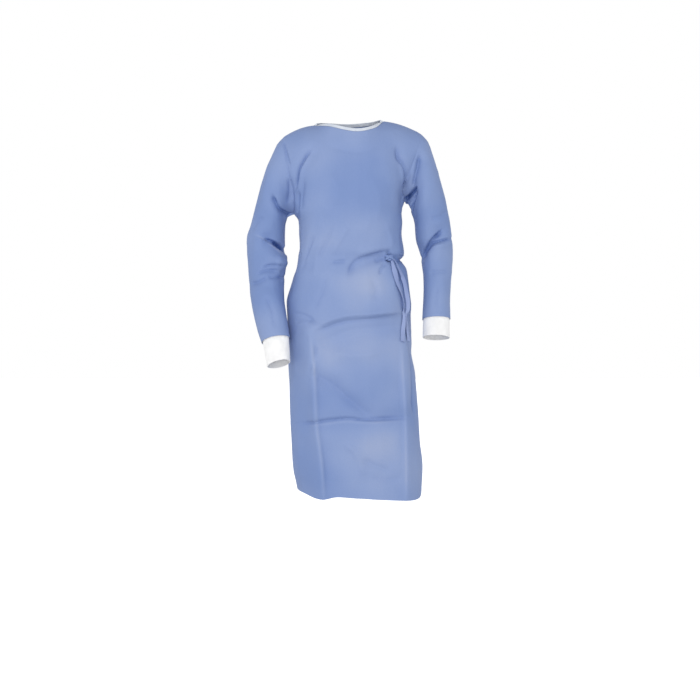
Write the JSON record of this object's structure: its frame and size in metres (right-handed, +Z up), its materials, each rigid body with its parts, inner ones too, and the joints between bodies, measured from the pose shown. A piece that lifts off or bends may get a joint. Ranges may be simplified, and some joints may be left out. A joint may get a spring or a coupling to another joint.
{
  "type": "surgical gown",
  "caption": "Knee-length blue nonwoven surgical gown in its worn, hollow form: bound boat neck, set-in sleeves bent at the elbow, white knitted cuffs, lapped back and a belt knotted at the side",
  "frame": {"origin": "midway between the neck ends of the two shoulder seams, where the wearer's shoulders carry the gown", "axes": "+Z up, -Y to the front, +X to the wearer's left"},
  "size_m": [0.6212, 0.2874, 1.132],
  "materials": {
    "gown_cloth": "soft matte nonwoven",
    "cuff_knit": "matte rib knit",
    "binding": "matte"
  },
  "bodies": {
    "root": {"front": "gown_cloth", "back_left": "gown_cloth", "back_right": "gown_cloth", "sleeve_left": "gown_cloth", "sleeve_right": "gown_cloth", "cuff_left": "cuff_knit", "cuff_right": "cuff_knit", "neck_binding": "binding", "belt": "gown_cloth", "knot": "gown_cloth", "tie_end_inner": "gown_cloth", "tie_end_outer": "gown_cloth"}
  },
  "joints": []
}
